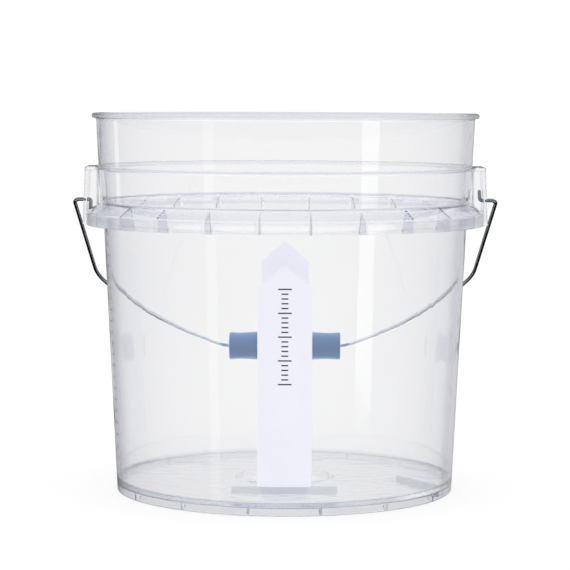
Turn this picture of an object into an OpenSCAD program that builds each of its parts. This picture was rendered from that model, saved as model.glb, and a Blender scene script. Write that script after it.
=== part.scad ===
// Clear straight-walled pail of about 13 litres with a wire bail and a tube grip.
// Origin: centre of the foot's bottom plane. +Z up, the bail pivots about X and hangs at the back (+Y).

/* [Shell] */
// Overall height, foot to rim top
height = 294.9; // [285:0.1:305]
// Outer radius of the rim bead
rim_r = 151; // [150:0.1:153]
// Height of the rim bead
rim_h = 3.8; // [3:0.1:5]
// Outer radius of the wall at the foot
foot_r = 131.6; // [130:0.1:133]
// Outward lean of the wall, mm of radius per mm of height
taper = 0.0485; // [0.045:0.0005:0.052]
// Wall thickness
wall = 1.9; // [1.5:0.1:2.4]
// Top surface of the base plate above the foot
floor_z = 9.4; // [8.5:0.1:12]
// Thickness of the base plate
floor_t = 2.8; // [2:0.1:3.2]

/* [Collar] */
// Outer radius of the neck where it leaves the collar
neck_r0 = 144.5; // [144:0.1:145.5]
// Height where the collar's shoulder meets the neck
shoulder_z = 226.2; // [225:0.1:228]
// Height of the corner between the shoulder and the skirt
skirt_top = 218.1; // [217:0.1:220]
// Height of the skirt's lower edge
skirt_z = 208.4; // [207:0.1:210]
// Outer radius of the skirt
skirt_r = 155.7; // [155:0.1:156.5]
// Thickness of the shoulder and the skirt
collar_t = 1.8; // [1.5:0.1:2.2]
// Number of positions for the stiffening ribs inside the collar
rib_n = 24; // [24:24:24]
// Thickness of each stiffening rib
rib_t = 1.5; // [1.2:0.1:2]
// Height of the upper ring's middle plane
ring_z = 252.5; // [251:0.1:254]
// Outer radius of the upper ring
ring_r = 149; // [148:0.1:150]
// Thickness of the upper ring
ring_t = 2; // [1.6:0.1:2.4]

/* [Ears] */
// Half width of each ear along Y
ear_hw = 19.6; // [19:0.1:20.5]
// Distance of an ear's outer face from the centre, at the ear's top
ear_top_x = 155.5; // [155:0.1:156]
// Distance of an ear's outer face from the centre, at the skirt's lower edge
ear_bot_x = 157.4; // [157:0.1:158]
// Wall thickness of the ears
ear_t = 2; // [1.8:0.1:2.2]
// Height of the bail's pivot axis
pivot_z = 227.3; // [226:0.1:229]
// Radial play of the wire in the ear holes
pivot_play = 0.1; // [0.05:0.01:0.1]

/* [Foot] */
// Number of gussets between the foot ring and the base plate
gusset_n = 15; // [12:1:18]
// Half length of the straight web under the base
web_hl = 39.5; // [30:0.5:44]
// Distance of that web from the centre
web_y = 51; // [45:0.5:60]

/* [Bail] */
// Wire diameter
wire_d = 3; // [2.6:0.1:3.2]
// Distance from the pivot axis to the grip's axis
reach = 200; // [199:0.5:202]
// Angle of the hanging bail from straight down, towards the back
hang = 49; // [48.9:0.1:51]
// Distance of the straight legs from the centre, at the pivot
leg_x = 165; // [164.5:0.1:166]
// Length of each straight leg
leg_l = 85; // [83:0.5:87]

/* [Grip] */
// Length of the tube grip
grip_l = 95.5; // [90:0.5:95.5]
// Diameter of the grip's ends
grip_end_d = 23.6; // [22:0.1:24.4]
// Diameter of the grip in the middle
grip_mid_d = 26.6; // [24:0.1:26.8]
// Diameter of the two necks near the ends
grip_neck_d = 22.2; // [21:0.1:23]

/* [Labels] */
// Label width
label_w = 40; // [30:0.5:44]
// Height of a label's lower edge
label_z0 = 22.4; // [20:0.1:30]
// Height of a label's shoulders, where its pointed top begins
label_z1 = 169.5; // [150:0.5:175]
// Height of a label's point
label_z2 = 186; // [176:0.5:190]
// Label thickness
label_t = 0.25; // [0.2:0.01:0.3]

/* [Hidden] */
$fn = 120;
step_z0 = skirt_z + 1.6;                 // the wall steps outwards behind the collar
step_z1 = shoulder_z - 4.2;
rim_z = height - rim_h;
wire_r = wire_d / 2;
hole_r = wire_r + pivot_play;
grip_play = 0.1;
LITRES = [2.5, 5, 7.5, 10];              // long graduation marks
gate_r = 34;                             // raised pad in the middle of the base
gate_z = 13;

function body_r(z) = foot_r + taper * z;
function neck_r(z) = neck_r0 + taper * (z - shoulder_z);
function arc(cx, cz, r, a0, a1, n) = [for (i = [0:n]) let (a = a0 + (a1 - a0) * i / n) [cx + r * cos(a), cz + r * sin(a)]];
// Height that a volume in litres reaches inside the tapered body.
function fill_z(v) = let (ri = foot_r - wall, rb = ri + taper * floor_z)
    (pow(pow(rb, 3) + 3 * taper * v * 1e6 / PI, 1 / 3) - ri) / taper;
// Outer face of an ear at height z.
function ear_x(z) = ear_bot_x + (ear_top_x - ear_bot_x) * (z - skirt_z) / (ring_z + ring_t / 2 - skirt_z);

// Bail centreline, outwards from the grip in the plane of the bail:
// tight bend at the grip, one wide bow, shoulder bend, straight leg, tight bend into the pivot stub.
r1 = 10; r2 = 45; r3 = 4;
a1 = 28.5; a2 = 59; a3 = 83.2;
bow_r = (reach - r1 * (1 - cos(a1)) - r2 * (cos(a2) - cos(a3)) - leg_l * sin(a3) - r3 * (1 + cos(a3))) / (cos(a1) - cos(a2));
x4 = leg_x - leg_l * cos(a3);                       // leg meets the shoulder bend
x3 = x4 - r2 * (sin(a3) - sin(a2));                 // shoulder bend meets the bow
x2 = x3 - bow_r * (sin(a2) - sin(a1));              // bow meets the tight bend
x1 = x2 - r1 * sin(a1);                             // straight run inside the grip ends
u4 = r3 * (1 + cos(a3)) + leg_l * sin(a3);
u3 = u4 + r2 * (cos(a2) - cos(a3));
u2 = u3 + bow_r * (cos(a1) - cos(a2));
stub_x = leg_x - r3 * sin(a3);                      // stub meets its bend
hook_x = ear_x(pivot_z) - ear_t - 0.25;             // the end hook's bend begins just inside the ear's face
hook_r = 2.2;
hook_l = 9.5;

// ---- shell -------------------------------------------------------------

module shell_profile() {
    b = 1.3;
    polygon(concat(
        [[0, floor_z - floor_t], [foot_r - wall - 0.3, floor_z - floor_t], [foot_r - wall - 0.3, 0], [foot_r - 0.5, 0], [body_r(0.5), 0.5],
         [body_r(step_z0), step_z0], [neck_r(step_z1), step_z1],
         // underside of the shoulder, skirt, top of the shoulder
         [neck_r(step_z1), shoulder_z - collar_t * 1.15], [skirt_r - collar_t, skirt_top - collar_t * 0.55],
         [skirt_r - collar_t, skirt_z], [skirt_r - 0.4, skirt_z], [skirt_r, skirt_z + 0.4]],
        arc(skirt_r - 1.2, skirt_top - 0.9, 1.2, 0, 55, 3),
        [[neck_r(shoulder_z), shoulder_z],
         // upper ring
         [neck_r(ring_z), ring_z - ring_t / 2 - 0.8], [neck_r(ring_z) + 0.8, ring_z - ring_t / 2],
         [ring_r - 0.4, ring_z - ring_t / 2], [ring_r, ring_z - ring_t / 2 + 0.4],
         [ring_r, ring_z + ring_t / 2 - 0.4], [ring_r - 0.4, ring_z + ring_t / 2],
         [neck_r(ring_z) + 0.6, ring_z + ring_t / 2], [neck_r(ring_z), ring_z + ring_t / 2 + 0.6],
         // rim bead
         [neck_r(rim_z), rim_z - 0.8], [neck_r(rim_z) + 0.8, rim_z], [rim_r - 0.8, rim_z], [rim_r, rim_z + 0.8]],
        arc(rim_r - b, height - b, b, 0, 90, 4),
        arc(neck_r(height) - wall + b, height - b, b, 90, 180, 4),
        [[neck_r(step_z1) - wall, step_z1 + 1], [body_r(step_z0) - wall, step_z0 + 1]],
        // fillet between wall and base plate, then the raised pad in the middle
        [[body_r(floor_z) - wall, floor_z + 2.2], [body_r(floor_z) - wall - 0.7, floor_z + 0.7], [body_r(floor_z) - wall - 2.2, floor_z],
         [gate_r + 4, floor_z], [gate_r, gate_z], [0, gate_z]]
    ));
}

// Everything outside the wall, from the skirt's edge to height z: its inner boundary follows the wall.
module outside_wall(z) rotate_extrude($fn = 180)
    polygon([[body_r(skirt_z - 4) + 0.05, skirt_z - 4], [body_r(step_z0) + 0.05, step_z0], [neck_r(step_z1) + 0.05, step_z1],
             [neck_r(z) + 0.05, z], [175, z], [175, skirt_z - 4]]);

// Prism of a ring sector at an ear: outline in X and Z, drawn along Y.
module ear_prism(pts, hw) rotate([90, 0, 0]) linear_extrude(height = 2 * hw, center = true) polygon(pts);

module ear_block() difference() {
    ear_prism([[136, skirt_z], [ear_bot_x, skirt_z], [ear_top_x, ring_z + ring_t / 2], [136, ring_z + ring_t / 2]], ear_hw);
    // stop half way through the wall
    rotate_extrude($fn = 180) polygon([[0, skirt_z - 1], [body_r(skirt_z - 1) - wall / 2, skirt_z - 1], [body_r(step_z0) - wall / 2, step_z0 + 0.5],
        [neck_r(step_z1) - wall / 2, step_z1 + 0.5], [neck_r(ring_z + 3) - wall / 2, ring_z + 3], [0, ring_z + 3]]);
}

module ear_pocket() intersection() {
    ear_prism([[136, skirt_z - 3], [ear_x(skirt_z - 3) - ear_t, skirt_z - 3], [ear_x(ring_z - ear_t / 2) - ear_t, ring_z - ear_t / 2],
               [136, ring_z - ear_t / 2]], ear_hw - ear_t);
    outside_wall(ring_z - ear_t / 2 + 1);
}

module collar_rib(a) rotate([0, 0, a]) rotate([90, 0, 0]) linear_extrude(height = rib_t, center = true)
    polygon([[body_r(skirt_z) - wall / 2, skirt_z + 0.4], [skirt_r - collar_t / 2, skirt_z + 0.4], [skirt_r - collar_t / 2, skirt_top - 0.6],
             [neck_r(shoulder_z) - wall / 2, shoulder_z - 0.8]]);

module foot_gusset(a) rotate([0, 0, a]) rotate([90, 0, 0]) linear_extrude(height = rib_t, center = true)
    polygon([[foot_r - 1.2, 0.7], [foot_r - wall - 2.3, 0.7], [foot_r - wall - 6.3, floor_z - floor_t + 0.6], [foot_r - 1.2, floor_z - floor_t + 0.6]]);

// Upright web under the base plate between two points of the plan.
module web(p, q) translate([p[0], p[1], 0.6]) rotate([0, 0, atan2(q[1] - p[1], q[0] - p[0])])
    translate([-1, -1, 0]) cube([norm(q - p) + 2, 2, floor_z - floor_t - 0.1]);

// Raised graduation mark on the outside of the wall: a long bar is a full step, a short one a half step.
module mark(v, len) let (z = fill_z(v))
    rotate([0, 0, -166]) translate([body_r(z) - 0.5, -len / 2, z - 0.6]) cube([0.9, len, 1.2]);

module bucket_shell() color([0.86, 0.88, 0.93, 0.45]) difference() {
    union() {
        rotate_extrude($fn = 180) shell_profile();
        for (i = [0:rib_n - 1]) let (a = (i + 0.5) * 360 / rib_n)
            if (abs(sin(a)) > sin(8)) collar_rib(a);
        for (s = [0, 1]) mirror([s, 0, 0]) ear_block();
        for (i = [0:gusset_n - 1]) foot_gusset(-90 + (i + 0.5) * 360 / gusset_n);
        web([-web_hl, -web_y], [web_hl, -web_y]);
        web([90, 2], [117, -41]);
        web([117, -41], [127, -19]);
        for (v = LITRES) mark(v, 9);
        for (v = [1:0.5:11]) if (len(search(v, LITRES)) == 0) mark(v, v == floor(v) ? 6 : 3.5);
    }
    for (s = [0, 1]) mirror([s, 0, 0]) {
        ear_pocket();
        translate([150.5, 0, pivot_z]) rotate([0, 90, 0]) cylinder(r = hole_r, h = 12);
    }
}

// ---- bail --------------------------------------------------------------

// Each run of wire stops short of a joint and a short collar a little fatter than the wire closes the gap.
// The collar lies along the wire: a is the wire's direction from +x.
gap = 0.1;
module knuckle(x, v, a) translate([x, v, 0]) rotate([0, 0, a]) rotate([0, 90, 0]) cylinder(r = wire_r + 0.04, h = 0.8, center = true, $fn = 32);

// Arc of wire of bend radius r about a centre in the bail's plane (x, v), v pointing at the pivot.
// The arc runs from angle b0 to b1, measured from +x.
module wire_arc(cx, cv, r, b0, b1) let (g = gap / r * 180 / PI) translate([cx, cv, 0]) rotate([0, 0, b0 + g])
    rotate_extrude(angle = b1 - b0 - 2 * g, $fn = 96) translate([r, 0]) circle(r = wire_r, $fn = 24);

// End hook inside the ear: a tight bend and a short tail, square to the plane of the bail.
module end_hook() let (g = gap / hook_r * 180 / PI) {
    translate([hook_x, 0, 0]) rotate([0, 90, 0]) cylinder(r = wire_r + 0.04, h = 0.8, center = true, $fn = 32);
    translate([hook_x, 0, -hook_r]) rotate([90, 0, 0]) rotate([0, 0, 90 + g])
        rotate_extrude(angle = 90 - 2 * g, $fn = 96) translate([hook_r, 0]) circle(r = wire_r, $fn = 24);
    translate([hook_x - hook_r, 0, -hook_r]) cylinder(r = wire_r + 0.04, h = 0.8, center = true, $fn = 32);
    translate([hook_x - hook_r, 0, -hook_l]) cylinder(r = wire_r, h = hook_l - hook_r - gap, $fn = 32);
}

module half_bail() {
    end_hook();
    // pivot stub
    translate([hook_x + gap, 0, 0]) rotate([0, 90, 0]) cylinder(r = wire_r, h = stub_x - hook_x - 2 * gap, $fn = 32);
    // v = -u: the pivot is at v = 0, the grip at v = -reach
    knuckle(stub_x, 0, 0);
    wire_arc(stub_x, -r3, r3, a3 - 90, 90);
    knuckle(leg_x, -r3 * (1 + cos(a3)), a3);
    translate([x4, -u4, 0]) rotate([0, 0, a3 - 90]) rotate([-90, 0, 0]) translate([0, 0, gap]) cylinder(r = wire_r, h = leg_l - 2 * gap, $fn = 32);
    knuckle(x4, -u4, a3);
    wire_arc(x4 - r2 * sin(a3), -u4 + r2 * cos(a3), r2, a2 - 90, a3 - 90);
    knuckle(x3, -u3, a2);
    wire_arc(x3 - bow_r * sin(a2), -u3 + bow_r * cos(a2), bow_r, a1 - 90, a2 - 90);
    knuckle(x2, -u2, a1);
    wire_arc(x1, -reach + r1, r1, -90, a1 - 90);
    knuckle(x1, -reach, 0);
}

// Bail plane (x, v) set into the shell's frame: v points from the grip up to the pivot.
module in_bail_plane() translate([0, 0, pivot_z]) rotate([90 + hang, 0, 0]) children();

module bail_wire() color([0.13, 0.14, 0.16]) in_bail_plane() {
    half_bail();
    rotate([0, 180, 0]) half_bail();
    translate([gap - x1, -reach, 0]) rotate([0, 90, 0]) cylinder(r = wire_r, h = 2 * (x1 - gap), $fn = 32);
}

// ---- grip --------------------------------------------------------------

// Half length, end, neck and middle radii of the tube. A smooth hourglass towards each end, with rounded rims.
function grip_r(x) = let (h = grip_l / 2, n = grip_neck_d / 2, m = grip_mid_d / 2, e = grip_end_d / 2, q = h - 9.5)
    abs(x) < q ? m + (n - m) * (1 - cos(180 * abs(x) / q)) / 2 : n + (e - n) * (1 - cos(90 * (abs(x) - q) / (h - q)));
module handle_grip() color([0.42, 0.54, 0.70]) in_bail_plane() translate([0, -reach, 0]) rotate([0, 90, 0]) difference() {
    h = grip_l / 2; p = wire_r + grip_play; c = 1.2;
    rotate_extrude() polygon(concat(
        [[p, 3 - h], [p + 2.4, -h]],
        [for (a = [270:22.5:345]) [grip_r(h - c) - c + c * cos(a), -h + c + c * sin(a)]],
        [for (i = [-11:11]) let (x = i * (h - c) / 11) [grip_r(x), x]],
        [for (a = [22.5:22.5:90]) [grip_r(h - c) - c + c * cos(a), h - c + c * sin(a)]],
        [[p + 2.4, h], [p, h - 3]]));
}

// ---- labels ------------------------------------------------------------

// Thin pointed label wrapped on the wall. It stands 0.04 clear of the wall.
module label(side) rotate([0, 0, side]) intersection() {
    rotate([90, 0, 0]) linear_extrude(height = 160)
        polygon([[-label_w / 2, label_z0], [label_w / 2, label_z0], [label_w / 2, label_z1], [0, label_z2], [-label_w / 2, label_z1]]);
    rotate_extrude($fn = 180) polygon([[body_r(15) + 0.04, 15], [body_r(15) + 0.04 + label_t, 15], [body_r(195) + 0.04 + label_t, 195], [body_r(195) + 0.04, 195]]);
}
module front_label() color([0.91, 0.91, 0.96]) label(0);
module back_label() color([0.91, 0.91, 0.96]) label(180);

bucket_shell();
bail_wire();
handle_grip();
front_label();
back_label();
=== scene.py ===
# Looks for the clear pail. Every length in the helpers below is in millimetres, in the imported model's frame.
import math
import bpy
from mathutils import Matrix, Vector


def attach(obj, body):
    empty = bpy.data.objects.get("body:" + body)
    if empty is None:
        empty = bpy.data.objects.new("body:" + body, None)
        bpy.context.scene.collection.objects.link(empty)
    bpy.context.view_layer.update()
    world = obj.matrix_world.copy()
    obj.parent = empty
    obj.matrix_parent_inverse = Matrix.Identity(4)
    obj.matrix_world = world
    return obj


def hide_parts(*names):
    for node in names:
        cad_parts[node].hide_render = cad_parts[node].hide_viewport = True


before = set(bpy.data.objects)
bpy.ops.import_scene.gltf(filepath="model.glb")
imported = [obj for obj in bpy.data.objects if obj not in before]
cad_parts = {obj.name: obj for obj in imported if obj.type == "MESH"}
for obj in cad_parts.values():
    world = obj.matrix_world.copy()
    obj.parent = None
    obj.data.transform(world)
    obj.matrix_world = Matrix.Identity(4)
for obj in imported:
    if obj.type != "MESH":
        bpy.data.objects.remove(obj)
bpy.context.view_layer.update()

MM = 0.001
PI = math.pi
scene = bpy.context.scene

# ---------------------------------------------------------------- dimensions
H = 294.9
RIM_R, RIM_H = 151.0, 3.8
FOOT_R, TAPER, WALL = 131.6, 0.0485, 1.9
FLOOR_Z, FLOOR_T = 9.4, 2.8
NECK_R0, SHOULDER_Z = 144.5, 226.2
SKIRT_TOP, SKIRT_Z, SKIRT_R, COLLAR_T = 218.1, 208.4, 155.7, 1.8
RING_Z, RING_R, RING_T = 252.5, 149.0, 2.0
EAR_HW, EAR_TOP_X, EAR_BOT_X, EAR_T = 19.6, 155.5, 157.4, 2.0
PIVOT_Z, WIRE_R = 227.3, 1.5
STEP_Z0, STEP_Z1 = SKIRT_Z + 1.6, SHOULDER_Z - 4.2
RIM_Z = H - RIM_H
BAND_Z = FLOOR_Z + 0.8
RIB_N, RIB_T = 24, 1.5
REACH, HANG, LEG_X, LEG_L = 200.0, math.radians(49), 165.0, 85.0
GRIP_L = 95.5
LABEL_W, LABEL_Z0, LABEL_Z1, LABEL_Z2, LABEL_T = 40.0, 22.4, 169.5, 186.0, 0.25
N = 480


def body_r(z):
    return FOOT_R + TAPER * z


def neck_r(z):
    return NECK_R0 + TAPER * (z - SHOULDER_Z)


def ear_x(z):
    return EAR_BOT_X + (EAR_TOP_X - EAR_BOT_X) * (z - SKIRT_Z) / (RING_Z + RING_T / 2 - SKIRT_Z)


def fill_z(litres):
    ri = FOOT_R - WALL
    rb = ri + TAPER * FLOOR_Z
    return ((rb ** 3 + 3 * TAPER * litres * 1e6 / PI) ** (1 / 3) - ri) / TAPER


# ---------------------------------------------------------------- mesh tools
def mesh_object(name, verts, faces):
    me = bpy.data.meshes.new(name)
    me.from_pydata([(x * MM, y * MM, z * MM) for x, y, z in verts], [], faces)
    me.update()
    o = bpy.data.objects.new(name, me)
    scene.collection.objects.link(o)
    return o


HOLD = 0.35


def rounded(points, longest=12.0):
    """A polyline of (r, z, fillet, steps) corners as plain points, long edges cut up and held flat near their ends."""
    out = []
    for i, (x, y, f, n) in enumerate(points):
        if f <= 0 or i in (0, len(points) - 1):
            out.append((x, y))
            continue
        p, a, b = Vector((x, y)), Vector(points[i - 1][:2]), Vector(points[i + 1][:2])
        u, v = (a - p).normalized(), (b - p).normalized()
        half = math.acos(max(-1.0, min(1.0, u.dot(v)))) / 2
        if half > PI / 2 - 0.01:
            out.append((x, y))
            continue
        t = f / math.tan(half)
        t = min(t, 0.49 * (a - p).length, 0.49 * (b - p).length)
        r = t * math.tan(half)
        c = p + (u + v).normalized() * (r / math.sin(half))
        s, e = p + u * t - c, p + v * t - c
        turn = math.atan2(s.x * e.y - s.y * e.x, s.dot(e))
        for k in range(n + 1):
            w = turn * k / n
            out.append((c.x + s.x * math.cos(w) - s.y * math.sin(w), c.y + s.x * math.sin(w) + s.y * math.cos(w)))
    fine = [out[0]]
    for a, b in zip(out, out[1:]):
        d = math.hypot(b[0] - a[0], b[1] - a[1])
        if d < 1e-6:
            continue
        cuts = max(1, int(math.ceil(d / longest)))
        at = [k / cuts for k in range(1, cuts + 1)]
        if d > 3 * HOLD:
            at = sorted(at + [HOLD / d, 1 - HOLD / d])
        fine += [(a[0] + (b[0] - a[0]) * t, a[1] + (b[1] - a[1]) * t) for t in at]
    return fine


def lathe(name, profile, n=N, closed=False):
    verts, rings = [], []
    for r, z in profile:
        if r < 1e-6:
            rings.append([len(verts)])
            verts.append((0, 0, z))
        else:
            rings.append(list(range(len(verts), len(verts) + n)))
            verts += [(r * math.cos(2 * PI * k / n), r * math.sin(2 * PI * k / n), z) for k in range(n)]
    if closed:
        rings.append(rings[0])
    faces = []
    for lo, hi in zip(rings, rings[1:]):
        for k in range(n):
            j = (k + 1) % n
            if len(lo) == 1:
                faces.append((lo[0], hi[j], hi[k]))
            elif len(hi) == 1:
                faces.append((lo[k], lo[j], hi[0]))
            else:
                faces.append((lo[k], lo[j], hi[j], hi[k]))
    return mesh_object(name, verts, faces)


def prism(outline, place, depth):
    """Closed prism: outline (list of 2D points, counter-clockwise as seen from the far end) carried by place(u, v, w) at w = -depth/2 and depth/2."""
    n = len(outline)
    verts = [place(u, v, -depth / 2) for u, v in outline] + [place(u, v, depth / 2) for u, v in outline]
    faces = [tuple(range(n - 1, -1, -1)), tuple(range(n, 2 * n))]
    faces += [(i, (i + 1) % n, n + (i + 1) % n, n + i) for i in range(n)]
    return verts, faces


def merged(name, parts):
    verts, faces = [], []
    for v, f in parts:
        k = len(verts)
        verts += v
        faces += [tuple(i + k for i in face) for face in f]
    return outward(mesh_object(name, verts, faces))


def outward(o):
    import bmesh
    bm = bmesh.new()
    bm.from_mesh(o.data)
    bmesh.ops.recalc_face_normals(bm, faces=bm.faces)
    bm.to_mesh(o.data)
    bm.free()
    return o


def cut(o, other, operation):
    m = o.modifiers.new("cut", "BOOLEAN")
    m.operation, m.object, m.solver = operation, other, "MANIFOLD"
    me = bpy.data.meshes.new_from_object(o.evaluated_get(bpy.context.evaluated_depsgraph_get()))
    o.modifiers.clear()
    old, o.data = o.data, me
    bpy.data.meshes.remove(old)
    bpy.data.objects.remove(other)
    return o


def smooth(o, angle=34):
    o.data.shade_smooth()
    o.data.set_sharp_from_angle(angle=math.radians(angle))
    return o


def loft(name, loops, caps=True):
    """Closed skin through loops of the same number of 3D points."""
    n = len(loops[0])
    verts = [p for loop in loops for p in loop]
    faces = []
    for i in range(len(loops) - 1):
        for k in range(n):
            j = (k + 1) % n
            faces.append((i * n + k, i * n + j, (i + 1) * n + j, (i + 1) * n + k))
    if caps:
        faces += [tuple(range(n - 1, -1, -1)), tuple(range((len(loops) - 1) * n, len(loops) * n))]
    return outward(mesh_object(name, verts, faces))


def tube(name, path, radius, sides=28):
    """Round tube along a 3D path, its radius a number or one per point."""
    pts = [Vector(p) for p in path]
    up = None
    loops = []
    for i, p in enumerate(pts):
        t = (pts[min(i + 1, len(pts) - 1)] - pts[max(i - 1, 0)]).normalized()
        if up is None:
            up = t.orthogonal().normalized()
        up = (up - t * up.dot(t)).normalized()
        side = t.cross(up)
        r = radius[i] if isinstance(radius, list) else radius
        loops.append([tuple(p + up * (r * math.cos(2 * PI * k / sides)) + side * (r * math.sin(2 * PI * k / sides))) for k in range(sides)])
    return loft(name, loops)


# ---------------------------------------------------------------- node materials
class Nodes:
    def __init__(self, name):
        self.mat = bpy.data.materials.new(name)
        self.mat.use_nodes = True
        self.t = self.mat.node_tree
        self.t.nodes.clear()
        self.out = self.add("ShaderNodeOutputMaterial")
        self.coord = self.add("ShaderNodeTexCoord").outputs["Object"]

    def add(self, kind, **values):
        n = self.t.nodes.new(kind)
        for k, v in values.items():
            if hasattr(n, k):
                setattr(n, k, v)
            else:
                n.inputs[k.replace("_", " ")].default_value = v
        return n

    def link(self, a, b):
        self.t.links.new(a, b)

    def mapped(self, scale, rotation=(0, 0, 0)):
        m = self.add("ShaderNodeMapping")
        m.inputs["Scale"].default_value = scale
        m.inputs["Rotation"].default_value = rotation
        self.link(self.coord, m.inputs["Vector"])
        return m.outputs["Vector"]

    def noise(self, scale, detail=2.0, rough=0.5, vector=None):
        n = self.add("ShaderNodeTexNoise")
        n.inputs["Scale"].default_value = scale
        n.inputs["Detail"].default_value = detail
        n.inputs["Roughness"].default_value = rough
        self.link(vector or self.coord, n.inputs["Vector"])
        return n.outputs["Fac"]

    def ramp(self, fac, stops):
        r = self.add("ShaderNodeValToRGB")
        while len(r.color_ramp.elements) > len(stops):
            r.color_ramp.elements.remove(r.color_ramp.elements[-1])
        while len(r.color_ramp.elements) < len(stops):
            r.color_ramp.elements.new(0.5)
        for e, (at, colour) in zip(r.color_ramp.elements, stops):
            e.position = at
            e.color = tuple(colour) + (1.0,) if len(colour) == 3 else colour
        self.link(fac, r.inputs["Fac"])
        return r.outputs["Color"]

    def span(self, fac, lo, hi, a=0.0, b=1.0):
        m = self.add("ShaderNodeMapRange")
        m.inputs["From Min"].default_value, m.inputs["From Max"].default_value = a, b
        m.inputs["To Min"].default_value, m.inputs["To Max"].default_value = lo, hi
        self.link(fac, m.inputs["Value"])
        return m.outputs["Result"]

    def bump(self, height, distance, normal=None, strength=1.0):
        b = self.add("ShaderNodeBump")
        b.inputs["Strength"].default_value = strength
        b.inputs["Distance"].default_value = distance
        self.link(height, b.inputs["Height"])
        if normal:
            self.link(normal, b.inputs["Normal"])
        return b.outputs["Normal"]

    def mix(self, fac, a, b):
        m = self.add("ShaderNodeMix")
        m.data_type = "RGBA"
        self.link(fac, m.inputs["Factor"])
        for s, v in (("A", a), ("B", b)):
            socket = [i for i in m.inputs if i.name == s and i.type == "RGBA"][0]
            if isinstance(v, tuple):
                socket.default_value = v + (1.0,)
            else:
                self.link(v, socket)
        return [o for o in m.outputs if o.type == "RGBA"][0]

    def product(self, a, b):
        m = self.add("ShaderNodeMix")
        m.data_type, m.blend_type = "RGBA", "MULTIPLY"
        m.inputs["Factor"].default_value = 1.0
        for s, v in (("A", a), ("B", b)):
            self.link(v, [i for i in m.inputs if i.name == s and i.type == "RGBA"][0])
        return [o for o in m.outputs if o.type == "RGBA"][0]

    def principled(self, **links):
        p = self.add("ShaderNodeBsdfPrincipled")
        for k, v in links.items():
            s = p.inputs[k.replace("_", " ")]
            if isinstance(v, bpy.types.NodeSocket):
                self.link(v, s)
            else:
                s.default_value = v if not isinstance(v, tuple) or len(v) != 3 else v + (1.0,)
        self.link(p.outputs["BSDF"], self.out.inputs["Surface"])
        return p


def clear_plastic(name, factor=(1.0, 1.0, 1.0), haze=0.0, painted_shade_band=None, depth=1.0):
    """Clear polypropylene. factor tints the thicker mouldings, which look denser and bluer than the wall; where a
    moulding is tinted on one side of the pail only, the tint is partly painted shade.
    The band (tint, centre azimuth, two half angles) is painted shade round part of the foot, fading out between the
    half angles.
    depth scales how much the plastic darkens where it is seen edge-on."""
    n = Nodes(name)
    cloud = n.noise(14.0, 3.0, 0.55)
    flow = n.noise(1.0, 3.0, 0.5, n.mapped((70.0, 70.0, 5.0)))
    edge = n.add("ShaderNodeLayerWeight")
    edge.inputs["Blend"].default_value = 0.5
    stops = [(0.0, (0.955, 0.956, 0.959)), (0.33, (0.918, 0.919, 0.927)), (0.62, (0.865, 0.868, 0.892)), (0.75, (0.72, 0.726, 0.78)), (1.0, (0.47, 0.478, 0.54))]
    tint = n.ramp(edge.outputs["Facing"], [(at, tuple(min(1.0, (1 - depth * (1 - c)) * f) for c, f in zip(colour, factor))) for at, colour in stops])
    tint = n.product(tint, n.ramp(cloud, [(0.3, (0.992, 0.992, 0.993)), (0.7, (1.0, 1.0, 1.0))]))
    # painted shade: a darker, bluer band round part of the foot, for the floor plate's edge as it shows through the
    # wall
    if painted_shade_band:
        colour, centre, full, gone = painted_shade_band
        toward = n.add("ShaderNodeVectorMath")
        toward.operation = "DOT_PRODUCT"
        n.link(n.coord, toward.inputs[0])
        reach = body_r(FLOOR_Z) * MM
        toward.inputs[1].default_value = (math.cos(math.radians(centre)) / reach, math.sin(math.radians(centre)) / reach, 0.0)
        part = n.span(toward.outputs["Value"], 0.0, 1.0, math.cos(math.radians(gone)), math.cos(math.radians(full)))
        tint = n.product(tint, n.ramp(part, [(0.0, (1.0, 1.0, 1.0)), (1.0, colour)]))
    rough = n.span(cloud, 0.012 + haze, 0.03 + haze, 0.3, 0.7)
    normal = n.bump(flow, 0.00006)
    normal = n.bump(cloud, 0.0004, normal)
    n.principled(Base_Color=tint, Roughness=rough, IOR=1.49, Transmission_Weight=1.0, Normal=normal)
    return n.mat


def steel_wire():
    n = Nodes("drawn_steel_wire")
    drawn = n.noise(1.0, 3.0, 0.6, n.mapped((60.0, 900.0, 900.0)))
    wear = n.noise(220.0, 4.0, 0.6)
    # painted light and shade: the steel is painted lighter along the bow, for the glow of the pale plastic it hangs
    # behind, and darker on the legs and hooks, for the dark they reflect
    along = n.add("ShaderNodeSeparateXYZ")
    n.link(n.coord, along.inputs[0])
    away = n.add("ShaderNodeMath")
    away.operation = "ABSOLUTE"
    n.link(along.outputs["X"], away.inputs[0])
    painted_bow_light_leg_shade = n.ramp(n.span(away.outputs[0], 0.0, 1.0, 0.128, 0.152), [(0.0, (1.0, 1.0, 1.0)), (1.0, (0.21, 0.22, 0.235))])
    colour = n.product(n.ramp(wear, [(0.35, (0.70, 0.745, 0.80)), (0.65, (0.78, 0.825, 0.88))]), painted_bow_light_leg_shade)
    rough = n.span(drawn, 0.07, 0.16, 0.3, 0.7)
    normal = n.bump(drawn, 0.00002)
    n.principled(Base_Color=colour, Roughness=rough, Metallic=1.0, Normal=normal)
    return n.mat


def grip_plastic():
    n = Nodes("grip_polyethylene")
    cloud = n.noise(60.0, 3.0, 0.55)
    grain = n.noise(2600.0, 2.0, 0.6)
    colour = n.ramp(cloud, [(0.3, (0.155, 0.335, 0.70)), (0.7, (0.185, 0.38, 0.77))])
    rough = n.span(cloud, 0.34, 0.48, 0.3, 0.7)
    normal = n.bump(grain, 0.00003)
    n.principled(Base_Color=colour, Roughness=rough, Normal=normal)
    return n.mat


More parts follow.
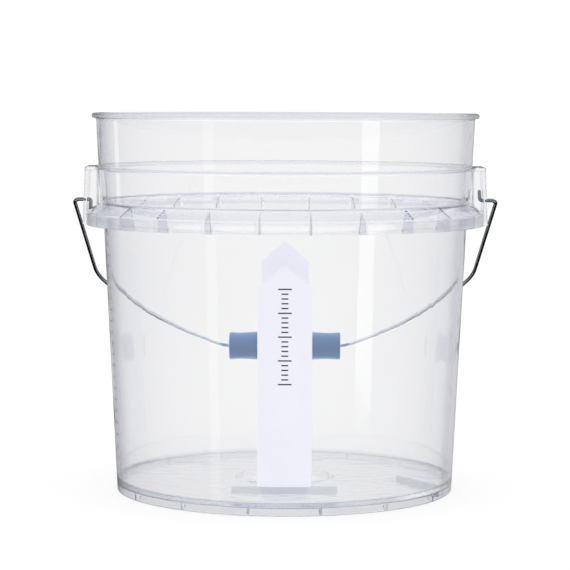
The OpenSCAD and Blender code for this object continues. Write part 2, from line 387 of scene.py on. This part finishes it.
def label_film(name, glow=0.0):
    """White film. glow gives it a painted glow (emission); the labels' inner faces use it, standing in for light that
    comes through the film from outside.
    """
    n = Nodes(name)
    fibre = n.noise(1800.0, 3.0, 0.6)
    cloud = n.noise(40.0, 2.0, 0.5)
    colour = n.ramp(cloud, [(0.3, (0.80, 0.805, 0.885)), (0.7, (0.82, 0.825, 0.90))])
    rough = n.span(fibre, 0.42, 0.55, 0.3, 0.7)
    normal = n.bump(fibre, 0.00001)
    n.principled(Base_Color=colour, Roughness=rough, Normal=normal, Emission_Color=colour, Emission_Strength=glow)
    return n.mat


def label_ink():
    n = Nodes("label_ink")
    speck = n.noise(3000.0, 2.0, 0.6)
    colour = n.ramp(speck, [(0.3, (0.008, 0.009, 0.012)), (0.7, (0.016, 0.018, 0.022))])
    n.principled(Base_Color=colour, Roughness=n.span(speck, 0.35, 0.5, 0.3, 0.7), Normal=n.bump(speck, 0.000008))
    return n.mat


# ---------------------------------------------------------------- shell
def wall_profile():
    g = 0.6
    return rounded([
        (0, FLOOR_Z - FLOOR_T, 0, 1),
        (FOOT_R - WALL - 0.2, FLOOR_Z - FLOOR_T, 1.0, 4),
        (FOOT_R - WALL - 0.2, 0, 0.5, 3),
        (FOOT_R, 0, 0.9, 5),
        (body_r(FLOOR_Z - FLOOR_T), FLOOR_Z - FLOOR_T, 0, 1),
        (body_r(BAND_Z), BAND_Z, 0, 1),
        (body_r(STEP_Z0), STEP_Z0, 3.0, 4),
        (neck_r(STEP_Z1), STEP_Z1, 3.0, 4),
        (neck_r(STEP_Z1) + 0.02, SHOULDER_Z - COLLAR_T * 1.15, 0.9, 5),
        (SKIRT_R - COLLAR_T, SKIRT_TOP - COLLAR_T * 0.55, 1.4, 6),
        (SKIRT_R - COLLAR_T, SKIRT_Z, 0.5, 4),
        (SKIRT_R, SKIRT_Z, 0.6, 4),
        (SKIRT_R, SKIRT_TOP, 2.2, 8),
        (neck_r(SHOULDER_Z), SHOULDER_Z, 1.6, 6),
        (neck_r(RING_Z - RING_T / 2), RING_Z - RING_T / 2, 0.9, 5),
        (RING_R, RING_Z - RING_T / 2, 0.6, 4),
        (RING_R, RING_Z + RING_T / 2, 0.6, 4),
        (neck_r(RING_Z + RING_T / 2), RING_Z + RING_T / 2, 0.7, 4),
        (neck_r(RIM_Z), RIM_Z, 1.0, 5),
        (RIM_R, RIM_Z, 1.3, 6),
        (RIM_R, H, 1.6, 8),
        (neck_r(H) - WALL, H, 1.3, 7),
        (neck_r(STEP_Z1) - WALL, STEP_Z1 + 1, 3.0, 4),
        (body_r(STEP_Z0) - WALL, STEP_Z0 + 1, 3.0, 4),
        (body_r(FLOOR_Z) - WALL, FLOOR_Z, 2.4, 8),
        (38.0, FLOOR_Z, 6.0, 8),
        (31.0, 13.0, 5.0, 8),
        (0, 13.0, 0, 1),
    ])


def radial(a):
    """Place (r, z, w) in the radial plane at angle a, w across it."""
    c, s = math.cos(a), math.sin(a)
    return lambda r, z, w: (r * c - w * s, r * s + w * c, z)


def collar_ribs():
    parts = []
    for i in range(RIB_N):
        a = (i + 0.5) * 2 * PI / RIB_N
        if abs(math.sin(a)) < math.sin(math.radians(8)):
            continue
        parts.append(prism([(body_r(SKIRT_Z) - WALL / 2, SKIRT_Z + 0.4), (SKIRT_R - COLLAR_T / 2, SKIRT_Z + 0.4), (SKIRT_R - COLLAR_T / 2, SKIRT_TOP - 0.9),
                            (neck_r(SHOULDER_Z) - WALL / 2, SHOULDER_Z - 1.1)], radial(a), RIB_T))
    return parts


def foot_parts():
    parts = []
    for i in range(15):
        a = math.radians(-90 + (i + 0.5) * 24)
        parts.append(prism([(FOOT_R - 1.2, 0.7), (FOOT_R - WALL - 2.3, 0.7), (FOOT_R - WALL - 6.3, FLOOR_Z - FLOOR_T + 0.6), (FOOT_R - 1.2, FLOOR_Z - FLOOR_T + 0.6)],
                           radial(a), RIB_T))
    return parts


def web(p, q):
    d = Vector((q[0] - p[0], q[1] - p[1]))
    L, u = d.length + 2, d.normalized()
    mid = ((p[0] + q[0]) / 2, (p[1] + q[1]) / 2)
    top = FLOOR_Z - FLOOR_T + 0.5
    outline = [(-L / 2, 0.6), (L / 2, 0.6), (L / 2, top), (-L / 2, top)]
    return prism(outline, lambda s, z, w: (mid[0] + u.x * s - u.y * w, mid[1] + u.y * s + u.x * w, z), 2.0)


def marks():
    """Raised bars of the litre scale on the wall's left side: long each 2.5 litres, then full and half litres."""
    parts = []
    a0 = math.radians(-166)
    values = [0.5 * k for k in range(2, 23)]
    for v in values:
        z = fill_z(v)
        length = 9.0 if v in (2.5, 5.0, 7.5, 10.0) else 6.0 if v == int(v) else 3.5
        steps = 6
        lo, hi = [], []
        for k in range(steps + 1):
            t = (k / steps - 0.5) * length
            a = a0 + t / body_r(z)
            lo.append((a, -0.5))
            hi.append((a, 0.4))
        ring = lo + hi[::-1]
        verts = []
        for dz in (-0.6, 0.6):
            for a, h in ring:
                r = body_r(z + dz) + h - (0.12 if h > 0 else 0)
                verts.append((r * math.cos(a), r * math.sin(a), z + dz * (0.8 if h > 0 else 1)))
        n = len(ring)
        faces = [tuple(range(n - 1, -1, -1)), tuple(range(n, 2 * n))] + [(i, (i + 1) % n, n + (i + 1) % n, n + i) for i in range(n)]
        parts.append((verts, faces))
    return parts


def ear_plan(x_face, hw, corner, flare, steps=7):
    """Plan of an ear, counter-clockwise from its root at -Y: rounded outer corners, and flared roots if flare."""
    pts = [(130.0, -hw - flare)]
    if flare:
        x0 = math.sqrt(145.6 ** 2 - (hw + flare) ** 2)
        pts.append((x0 - 1.0, -hw - flare))
        pts += [(x0 + flare * (1 - math.sin(w)) + 0.4, -hw - flare * (1 - math.cos(w))) for w in [PI / 2 * (1 - k / steps) for k in range(steps + 1)]]
    pts += [(x_face - corner + corner * math.sin(w), -hw + corner - corner * math.cos(w)) for w in [PI / 2 * k / steps for k in range(steps + 1)]]
    return pts + [(x, -y) for x, y in reversed(pts)]


def ear_block(side):
    top = RING_Z + RING_T / 2
    loops = []
    levels = [(SKIRT_Z, 0.5), (SKIRT_Z + 0.5, 0)] + [(SKIRT_Z + 0.5 + (top - 0.9 - SKIRT_Z - 0.5) * k / 6, 0) for k in range(1, 7)] + [(top - 0.9 + 0.9 * math.sin(w), 0.9 * (1 - math.cos(w))) for w in [PI / 2 * k / 5 for k in range(1, 6)]]
    for z, inset in levels:
        loops.append([(side * x, y, z) for x, y in ear_plan(ear_x(z) - inset, EAR_HW - inset, 2.6 - inset, 2.6)])
    return loft("ear", loops)


def ear_pocket(side):
    top = RING_Z - EAR_T / 2
    loops = []
    levels = [(SKIRT_Z - 3 + (top - 1.2 - SKIRT_Z + 3) * k / 7, 0) for k in range(8)] + [(top - 1.2 + 1.2 * math.sin(w), 1.2 * (1 - math.cos(w))) for w in [PI / 2 * k / 4 for k in range(1, 5)]]
    for z, inset in levels:
        loops.append([(side * x, y, z) for x, y in ear_plan(ear_x(z) - EAR_T - inset, EAR_HW - EAR_T - inset, 1.6 - inset * 0.9, 0)])
    return loft("pocket", loops)


def inner_core():
    """Solid of revolution up to the middle of the wall, to trim what should not reach the inside."""
    w = WALL / 2
    return lathe("core", [(0, SKIRT_Z - 2), (body_r(SKIRT_Z - 2) - w, SKIRT_Z - 2), (body_r(STEP_Z0) - w, STEP_Z0 + 0.5), (neck_r(STEP_Z1) - w, STEP_Z1 + 0.5),
                          (neck_r(RING_Z + 4) - w, RING_Z + 4), (0, RING_Z + 4)], 240)


def outer_region():
    """Everything outside the wall around an ear's pocket."""
    e = 0.06
    return lathe("outside", [(body_r(SKIRT_Z - 4) + e, SKIRT_Z - 4), (175, SKIRT_Z - 4), (175, RING_Z), (neck_r(RING_Z) + e, RING_Z),
                             (neck_r(STEP_Z1 + 2.5) + e, STEP_Z1 + 2.5), (neck_r(STEP_Z1) + e, STEP_Z1), (body_r(STEP_Z0) + e + 0.1, STEP_Z0)], N, closed=True)


def bucket():
    shell = lathe("bucket_clear_shell", wall_profile())
    add = merged("ribs", collar_ribs() + foot_parts() + [web((-39.5, -51), (39.5, -51)), web((90, 2), (117, -41)), web((117, -41), (127, -19))] + marks())
    cut(shell, add, "UNION")
    for side in (1, -1):
        ear = ear_block(side)
        cut(ear, inner_core(), "DIFFERENCE")
        cut(shell, ear, "UNION")
    for side in (1, -1):
        pocket = ear_pocket(side)
        cut(pocket, outer_region(), "INTERSECT")
        cut(shell, pocket, "DIFFERENCE")
        hole = tube("hole", [(side * 150.5, 0, PIVOT_Z), (side * 162, 0, PIVOT_Z)], WIRE_R + 0.3, 40)
        cut(shell, hole, "DIFFERENCE")
    return smooth(shell)


# ---------------------------------------------------------------- bail, in its own plane (x, v, w), then set in place
def bail_point(x, v, w=0.0):
    c, s = math.cos(PI / 2 + HANG), math.sin(PI / 2 + HANG)
    return (x, v * c - w * s, v * s + w * c + PIVOT_Z)


def half_path():
    r1, r2, r3 = 10.0, 45.0, 4.0
    a1, a2, a3 = (math.radians(a) for a in (28.5, 59.0, 83.2))
    S, C = math.sin, math.cos
    bow = (REACH - r1 * (1 - C(a1)) - r2 * (C(a2) - C(a3)) - LEG_L * S(a3) - r3 * (1 + C(a3))) / (C(a1) - C(a2))
    x4 = LEG_X - LEG_L * C(a3)
    x3 = x4 - r2 * (S(a3) - S(a2))
    x2 = x3 - bow * (S(a2) - S(a1))
    x1 = x2 - r1 * S(a1)
    pts = [(0, -REACH, 0), (x1 * 0.5, -REACH, 0)]

    def arc(cx, cv, r, b0, b1, n):
        return [(cx + r * C(b0 + (b1 - b0) * k / n), cv + r * S(b0 + (b1 - b0) * k / n), 0) for k in range(n + 1)]

    u4 = r3 * (1 + C(a3)) + LEG_L * S(a3)
    u3 = u4 + r2 * (C(a2) - C(a3))
    pts += arc(x1, -REACH + r1, r1, -PI / 2, a1 - PI / 2, 8)
    pts += arc(x3 - bow * S(a2), -u3 + bow * C(a2), bow, a1 - PI / 2, a2 - PI / 2, 40)[1:]
    pts += arc(x4 - r2 * S(a3), -u4 + r2 * C(a3), r2, a2 - PI / 2, a3 - PI / 2, 14)[1:]
    leg_top = (LEG_X, -r3 * (1 + C(a3)), 0)
    pts += [(x4 + (leg_top[0] - x4) * k / 12, -u4 + (leg_top[1] + u4) * k / 12, 0) for k in range(1, 13)]
    stub = LEG_X - r3 * S(a3)
    pts += arc(stub, -r3, r3, a3 - PI / 2, PI / 2, 18)[1:]
    hx, hr, hl = ear_x(PIVOT_Z) - EAR_T - 0.25, 2.2, 9.5
    pts += [(stub + (hx - stub) * k / 4, 0, 0) for k in range(1, 5)]
    pts += [(hx - hr * S(w), 0, -hr * (1 - C(w))) for w in [PI / 2 * k / 10 for k in range(1, 11)]]
    pts += [(hx - hr, 0, -hr - (hl - hr) * k / 3) for k in range(1, 4)]
    return pts


def bail():
    right = half_path()
    left = [(-x, v, -w) for x, v, w in right]
    line = left[::-1] + right[1:]
    ends = [(line[0], line[1]), (line[-1], line[-2])]
    radii = [WIRE_R] * len(line)
    # blunt, slightly rounded ends
    for first in (True, False):
        a, b = (line[0], line[1]) if first else (line[-1], line[-2])
        d = (Vector(a) - Vector(b)).normalized()
        extra = [tuple(Vector(a) - d * 0.5), tuple(Vector(a) - d * 0.15), a]
        rr = [WIRE_R, WIRE_R - 0.12, WIRE_R - 0.5]
        if first:
            line = extra[::-1] + line[1:]
            radii = rr[::-1] + radii[1:]
        else:
            line = line[:-1] + extra
            radii = radii[:-1] + rr
    return smooth(tube("bail_steel_wire", [bail_point(*p) for p in line], radii), 50)


def grip():
    h = GRIP_L / 2
    m, n, e, q = 13.29, 11.1, 11.8, h - 9.5
    bore = WIRE_R + 0.12

    def r_at(x):
        x = abs(x)
        return m + (n - m) * (1 - math.cos(PI * x / q)) / 2 if x < q else n + (e - n) * (1 - math.cos(PI / 2 * (x - q) / (h - q)))

    c = 1.3
    prof = [(bore, 4 - h), (bore + 0.1, 2.6 - h), (bore + 1.0, 0.9 - h), (bore + 2.6, -h + 0.25), (bore + 4.2, -h)]
    prof += [(r_at(h - c) - c + c * math.cos(a), -h + c + c * math.sin(a)) for a in [-PI / 2 + PI / 2 * k / 8 for k in range(8)]]
    prof += [(r_at(x), x) for x in [(-h + c) + (2 * h - 2 * c) * k / 96 for k in range(97)]]
    prof += [(r_at(h - c) - c + c * math.cos(a), h - c + c * math.sin(a)) for a in [PI / 2 * k / 8 for k in range(1, 9)]]
    prof += [(bore + 4.2, h), (bore + 2.6, h - 0.25), (bore + 1.0, h - 0.9), (bore + 0.1, h - 2.6), (bore, h - 4)]
    sides = 96
    verts, faces = [], []
    for r, x in prof:
        for k in range(sides):
            a = 2 * PI * k / sides
            # moulding seam: a hair-line ridge on each side of the tube
            ridge = 0.07 * math.exp(-(min(abs(math.sin(a / 1.0 - 0.6)), 1) * r / 0.35) ** 2) if r > 9 else 0
            verts.append(bail_point(x, -REACH + (r + ridge) * math.cos(a), (r + ridge) * math.sin(a)))
    rows = len(prof)
    for i in range(rows):
        for k in range(sides):
            j = (k + 1) % sides
            i2 = (i + 1) % rows
            faces.append((i * sides + k, i * sides + j, i2 * sides + j, i2 * sides + k))
    return smooth(outward(mesh_object("grip_tube", verts, faces)), 40)


# ---------------------------------------------------------------- labels
def label(name, side, printed):
    """Pointed film wrapped on the wall. side is -1 for the front. Faces of the printed bars take material slot 1."""
    bars = []
    if printed:
        for k in range(21):
            z = 98.0 + k * 3.5
            w = 5.0 if k % 5 == 0 else 2.5
            bars.append((-w, w, z, z + 1.0))
    xs = sorted({round(-20 + k * 1.0, 3) for k in range(41)} | {b[0] for b in bars} | {b[1] for b in bars})
    zs = sorted({round(LABEL_Z0 + (LABEL_Z1 - LABEL_Z0) * k / 98, 3) for k in range(99)} | {b[2] for b in bars} | {b[3] for b in bars})
    clean = [zs[0]]
    keep = {b[2] for b in bars} | {b[3] for b in bars}
    for z in zs[1:]:
        if z - clean[-1] < 0.3:
            if z in keep:
                clean[-1] = z
            continue
        clean.append(z)
    zs = clean
    top = [LABEL_Z1 + (LABEL_Z2 - 0.35 - LABEL_Z1) * k / 14 for k in range(1, 15)]
    rows = []
    r0 = 1.2
    for z in zs + top:
        w = 1.0 if z <= LABEL_Z1 else (LABEL_Z2 - z) / (LABEL_Z2 - LABEL_Z1)
        rows.append((z, [x * w for x in xs]))
    first = rows[0]
    rows = [(LABEL_Z0 + r0 * (1 - math.cos(a)), [x * (20 - r0 * (1 - math.sin(a))) / 20 for x in xs]) for a in [PI / 2 * k / 5 for k in range(5)]] + [r for r in rows[1:] if r[0] > LABEL_Z0 + r0]
    n, m = len(xs), len(rows)
    verts, faces, slots = [], [], []
    for h in (0.03 + LABEL_T, 0.03):
        for z, line in rows:
            for x in line:
                r = body_r(z) + h
                verts.append((x, side * math.sqrt(r * r - x * x), z))
    off = n * m
    for i in range(m - 1):
        for k in range(n - 1):
            a, b, c, d = i * n + k, i * n + k + 1, (i + 1) * n + k + 1, (i + 1) * n + k
            faces.append((a, b, c, d))
            zc = (rows[i][0] + rows[i + 1][0]) / 2
            xc = (rows[i][1][k] + rows[i][1][k + 1]) / 2
            slots.append(1 if any(b0 < xc < b1 and z0 < zc < z1 for b0, b1, z0, z1 in bars) else 0)
            faces.append((off + d, off + c, off + b, off + a))
            slots.append(2)
    edge = [i for i in range(n)] + [i * n + n - 1 for i in range(1, m)] + [(m - 1) * n + k for k in range(n - 2, -1, -1)] + [i * n for i in range(m - 2, 0, -1)]
    for a, b in zip(edge, edge[1:] + edge[:1]):
        faces.append((b, a, off + a, off + b))
        slots.append(0)
    o = mesh_object(name, verts, faces)
    for p, s in zip(o.data.polygons, slots):
        p.material_index = s
    outward(o)
    return smooth(o, 40)


# ---------------------------------------------------------------- assemble
# the labels' inner faces get a painted glow: emission standing in for light coming through the film
steel, grip_mat, film, ink, film_inside_painted_glow = steel_wire(), grip_plastic(), label_film("label_film"), label_ink(), label_film("label_film_inside", 0.72)
plastics = [
    clear_plastic("clear_wall"),
    # rib tint: partly the denser look of thick ribs, partly painted shade, as only the near ribs and lines on the front
    # skirt take it
    clear_plastic("clear_rib", (0.88, 0.90, 0.965), 0.1),
    clear_plastic("clear_thick", (0.93, 0.935, 0.97), 0.02),
    # painted shade: a band round the front-left of the foot, for the floor plate's edge seen through the wall
    clear_plastic("clear_plate_edge_painted_shade", haze=0.22, painted_shade_band=((0.475, 0.505, 0.605), -115, 62, 71)),
    clear_plastic("clear_web", (0.44, 0.50, 0.60), 0.03),
    clear_plastic("clear_floor", (1.2, 1.2, 1.19)),
    clear_plastic("clear_rim", (0.70, 0.705, 0.76), 0.1, depth=0.45),
    clear_plastic("clear_fillet", (0.87, 0.88, 0.91)),
    clear_plastic("clear_foot", (0.86, 0.865, 0.885), 0.02),
    clear_plastic("clear_ring", (0.76, 0.76, 0.84), 0.02),
    clear_plastic("clear_neck", depth=0.88),
    clear_plastic("clear_shoulder", (0.56, 0.57, 0.64), 0.02),
    clear_plastic("clear_skirt", (1.02, 1.02, 1.025), 0.16, depth=0.85),
    clear_plastic("clear_mark", (0.62, 0.62, 0.68), 0.02),
    clear_plastic("clear_far_shoulder", (0.60, 0.615, 0.70), 0.12),
]


def dress(shell):
    """Give each face of the shell its plastic: ribs, thick mouldings, a band of painted shade for the floor plate's
    edge seen through the foot, webs, and tints set by side of the pail that are partly painted shade.
    """
    shell.data.materials.clear()
    for m in plastics:
        shell.data.materials.append(m)
    for p in shell.data.polygons:
        x, y, z = (v / MM for v in p.center)
        nx, ny, nz = p.normal
        r = math.hypot(x, y)
        k = 0
        if z < FLOOR_Z - FLOOR_T - 0.05 and r < FOOT_R - WALL - 0.4:
            k = 5 if r > FOOT_R - WALL - 8 else 4
        # the foot's outer wall at the floor plate's height takes the painted band of shade
        elif r > FOOT_R - 0.5 and FLOOR_Z - FLOOR_T < z < BAND_Z:
            k = 3
        # painted shade: the inner floor fillet is tinted on the far side only
        elif FLOOR_Z < z < FLOOR_Z + 2.3 and 126 < r < FOOT_R - 1 and nz < 0.97:
            k = 7 if y > 0 else 0
        elif z < FLOOR_Z - FLOOR_T and r > FOOT_R - WALL - 0.4:
            k = 8
        elif z < FLOOR_Z + 4 and r < 128 and abs(nz) > 0.97:
            k = 5
        elif z > RIM_Z - 0.4:
            k = 6
        elif abs(z - RING_Z) < RING_T / 2 + 0.02 and r > neck_r(z) + 0.3:
            k = 9
        # the near shoulder's top and the far shoulder's outer face take their own tints: partly the denser look of the
        # thicker moulding, partly painted shade set by side
        elif y < 0 and SHOULDER_Z - 1.2 < z < SHOULDER_Z + 0.9 and neck_r(z) - 0.1 < r < neck_r(z) + 2.2 and nz > 0.08:
            k = 11
        elif y > 0 and SHOULDER_Z - 0.9 < z < SHOULDER_Z + 2.0 and neck_r(z) - 0.1 < r < neck_r(z) + 2.2 and x * nx + y * ny > 0:
            k = 14
        elif abs(y) < EAR_HW - EAR_T and SHOULDER_Z < z < RING_Z - EAR_T and neck_r(z) - 0.3 < r < neck_r(z) + 0.2 and x * nx + y * ny > 0:
            k = 7
        elif SKIRT_Z + 0.2 < z < SHOULDER_Z - 0.2 and abs(y) > EAR_HW + 1:
            # near ribs take the rib tint, partly the denser look of the thick moulding and partly painted shade: the
            # far ribs keep the wall's plastic
            if body_r(z) + 0.4 < r < SKIRT_R - COLLAR_T - 0.15 and abs(nz) < 0.1 and abs((x * nx + y * ny) / r) < 0.3:
                k = 1 if y < 0 else 0
            # painted shade: a one-segment line of the skirt's outer wall in front of each near rib gets the rib tint,
            # for the rib seen through the wall
            elif y < 0 and r > SKIRT_R - 0.3 and abs(nz) < 0.3 and 6.75 < math.degrees(math.atan2(y, x)) % 15 < 7.5:
                k = 1
            elif 0.5 < nz < 0.9 or -0.9 < nz < -0.5:
                k = 2
        if k == 0 and z > SHOULDER_Z and abs(y) > EAR_HW + 1:
            k = 10
        # painted light: the front of the skirt's outer wall takes a lighter, hazier plastic than the back
        elif k == 0 and SKIRT_Z < z < SHOULDER_Z and r > SKIRT_R - 0.3 and y < -EAR_HW - 1:
            k = 12
        elif k == 0 and z < SKIRT_Z and r > body_r(z) + 0.03:
            k = 13
        p.material_index = k


shell = bucket()
dress(shell)
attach(shell, "bucket"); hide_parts("bucket_shell")

wire = bail()
wire.data.materials.append(steel)
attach(wire, "bail"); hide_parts("bail_wire")

handle = grip()
handle.data.materials.append(grip_mat)
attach(handle, "grip"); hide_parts("handle_grip")

for name, side, node in (("front_film_label", -1, "front_label"), ("back_film_label", 1, "back_label")):
    o = label(name, side, True)
    o.data.materials.append(film)
    o.data.materials.append(ink)
    # slot 2, the inner faces, takes the film with the painted glow
    o.data.materials.append(film_inside_painted_glow)
    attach(o, "bucket"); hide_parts(node)

# ---------------------------------------------------------------- stage
def emission(name, colour, strength, diffuse=None):
    n = Nodes(name)
    e = n.add("ShaderNodeEmission")
    e.inputs["Color"].default_value = colour + (1.0,)
    e.inputs["Strength"].default_value = strength
    if diffuse is None:
        n.link(e.outputs[0], n.out.inputs["Surface"])
        return n.mat
    d = n.add("ShaderNodeBsdfDiffuse")
    d.inputs["Color"].default_value = diffuse + (1.0,)
    s = n.add("ShaderNodeAddShader")
    n.link(e.outputs[0], s.inputs[0])
    n.link(d.outputs[0], s.inputs[1])
    n.link(s.outputs[0], n.out.inputs["Surface"])
    return n.mat


floor = lathe("studio_floor", rounded([(0, -0.2, 0, 1), (3600, -0.2, 900, 16), (4200, 3200, 0, 1)], 400), 96)
for p in floor.data.polygons:
    p.use_smooth = True
floor.data.flip_normals()
floor.data.materials.append(emission("studio_white", (1.0, 1.0, 1.0), 0.78, (0.24, 0.24, 0.24)))
floor.visible_glossy = False

# A bright card under the hanging bow, seen only in polished steel.
card = mesh_object("bounce_card", [(-118, 158, 60), (118, 158, 60), (118, 420, 60), (-118, 420, 60)], [(0, 1, 2, 3)])
card.data.materials.append(emission("bounce_white", (1.0, 1.0, 1.0), 2.1))
card.visible_camera = card.visible_diffuse = card.visible_transmission = card.visible_shadow = False

# What surrounds the pail: a white studio, with grey flags, strip lights and a dark floor that only polished surfaces reflect.
world = bpy.data.worlds.new("studio")
scene.world = world
world.use_nodes = True
world.cycles.sampling_method = "NONE"
wt = world.node_tree
wt.nodes.clear()


def wnode(kind, **values):
    n = wt.nodes.new(kind)
    for k, v in values.items():
        setattr(n, k, v)
    return n


def wlink(value, socket):
    if isinstance(value, bpy.types.NodeSocket):
        wt.links.new(value, socket)
    else:
        socket.default_value = value


def math_node(op, a, b=0.0, clamp=False):
    n = wnode("ShaderNodeMath", operation=op, use_clamp=clamp)
    wlink(a, n.inputs[0])
    wlink(b, n.inputs[1])
    return n.outputs[0]


def ease(v, lo, hi, a=0.0, b=1.0):
    n = wnode("ShaderNodeMapRange", interpolation_type="SMOOTHSTEP")
    for k, x in zip(("Value", "From Min", "From Max", "To Min", "To Max"), (v, lo, hi, a, b)):
        wlink(x, n.inputs[k])
    return n.outputs["Result"]


direction = wnode("ShaderNodeSeparateXYZ")
wt.links.new(wnode("ShaderNodeTexCoord").outputs["Generated"], direction.inputs[0])
dx, dy, dz = direction.outputs
azimuth = math_node("ARCTAN2", dx, math_node("MULTIPLY", dy, -1.0))


def strip(centre, half, soft, level, foot=(-0.75, -0.7), head=(0.6, 0.7)):
    off = math_node("ABSOLUTE", math_node("SUBTRACT", azimuth, math.radians(centre)))
    band = ease(off, math.radians(half), math.radians(half + soft), level, 0.0)
    band = math_node("MULTIPLY", band, ease(dz, *foot))
    return math_node("MULTIPLY", band, ease(dz, head[0], head[1], 1.0, 0.0))


gloss = math_node("ADD", ease(dz, 0.2, 0.42, 0.11, 0.95), ease(dz, 0.45, 0.75, 0.0, 0.45))
gloss = math_node("MULTIPLY", gloss, ease(dz, -0.5, -0.32))
low_front = math_node("MULTIPLY", ease(dz, -0.8, -0.6), ease(dz, -0.33, -0.26, 1.0, 0.0))
low_front = math_node("MULTIPLY", low_front, ease(dy, -0.3, 0.0, 3.0, 0.0))
gloss = math_node("MAXIMUM", gloss, low_front)
gloss = math_node("ADD", gloss, strip(52.4, 5.0, 1.0, 2.2, (-0.235, -0.19), (-0.03, 0.01)))
gloss = math_node("ADD", gloss, strip(-46.6, 2.6, 1.4, 0.9, (-0.28, -0.24), (-0.03, 0.01)))
gloss = math_node("ADD", gloss, strip(-124.1, 1.9, 1.6, 1.0, (-0.105, -0.08)))
gloss = math_node("ADD", gloss, strip(157, 6, 14, 0.35))
gloss = math_node("ADD", gloss, strip(-167, 5, 6, 0.3, (-0.17, -0.13)))
through = ease(dz, 0.3, 0.55, 1.0, 0.7)
path = wnode("ShaderNodeLightPath")


def choose(fac, a, b):
    n = wnode("ShaderNodeMix", data_type="FLOAT")
    sockets = [i for i in n.inputs if i.type == "VALUE"]
    wlink(fac, sockets[0])
    wlink(a, sockets[1])
    wlink(b, sockets[2])
    return [o for o in n.outputs if o.type == "VALUE"][0]


# light that reaches matt surfaces behind the plastic is strong, as it is behind a real clear wall
lit = ease(path.outputs["Diffuse Depth"], 0.0, 1.0, 1.0, 1.6)
level = choose(path.outputs["Is Transmission Ray"], 1.0, math_node("MULTIPLY", through, lit))
level = choose(path.outputs["Is Glossy Ray"], level, gloss)
background = wnode("ShaderNodeBackground")
background.inputs["Color"].default_value = (1.0, 1.0, 1.0, 1.0)
wlink(level, background.inputs["Strength"])
wt.links.new(background.outputs[0], wnode("ShaderNodeOutputWorld").inputs["Surface"])


def softbox(name, at, size, aim, power):
    data = bpy.data.lights.new(name, "AREA")
    data.shape, data.size, data.size_y, data.energy = "RECTANGLE", size[0], size[1], power
    o = bpy.data.objects.new(name, data)
    scene.collection.objects.link(o)
    o.location = at
    o.rotation_mode = "QUATERNION"
    o.rotation_quaternion = (Vector(aim) - Vector(at)).to_track_quat("-Z", "Y")
    o.visible_camera = o.visible_glossy = o.visible_transmission = False
    return o


softbox("key_right", (1.55, -1.35, 0.75), (0.25, 1.3), (0, 0, 0.15), 2)
softbox("fill_left", (-1.7, -1.0, 0.8), (0.15, 1.3), (0, 0, 0.15), 1)
softbox("top", (0, 0.2, 2.2), (1.6, 1.6), (0, 0, 0), 3)

cam_data = bpy.data.cameras.new("camera")
cam_data.sensor_width = 36.0
cam_data.lens = 36.0 * 2322.8 / 570
cam_data.clip_start, cam_data.clip_end = 0.05, 50
cam = bpy.data.objects.new("camera", cam_data)
scene.collection.objects.link(cam)
cam.location = (0, -1.8196, 0.3089)
cam.rotation_mode = "XYZ"
from mathutils import Matrix
cam.matrix_world = Matrix.Translation(cam.location) @ Matrix.Rotation(PI / 2 - 0.0815, 4, "X") @ Matrix.Rotation(math.radians(0.2), 4, "Z")
scene.camera = cam

scene.view_settings.view_transform = "Standard"
scene.view_settings.look = "None"
c = scene.cycles
c.max_bounces, c.transmission_bounces, c.glossy_bounces, c.diffuse_bounces, c.transparent_max_bounces = 80, 80, 40, 4, 16
c.use_denoising = True
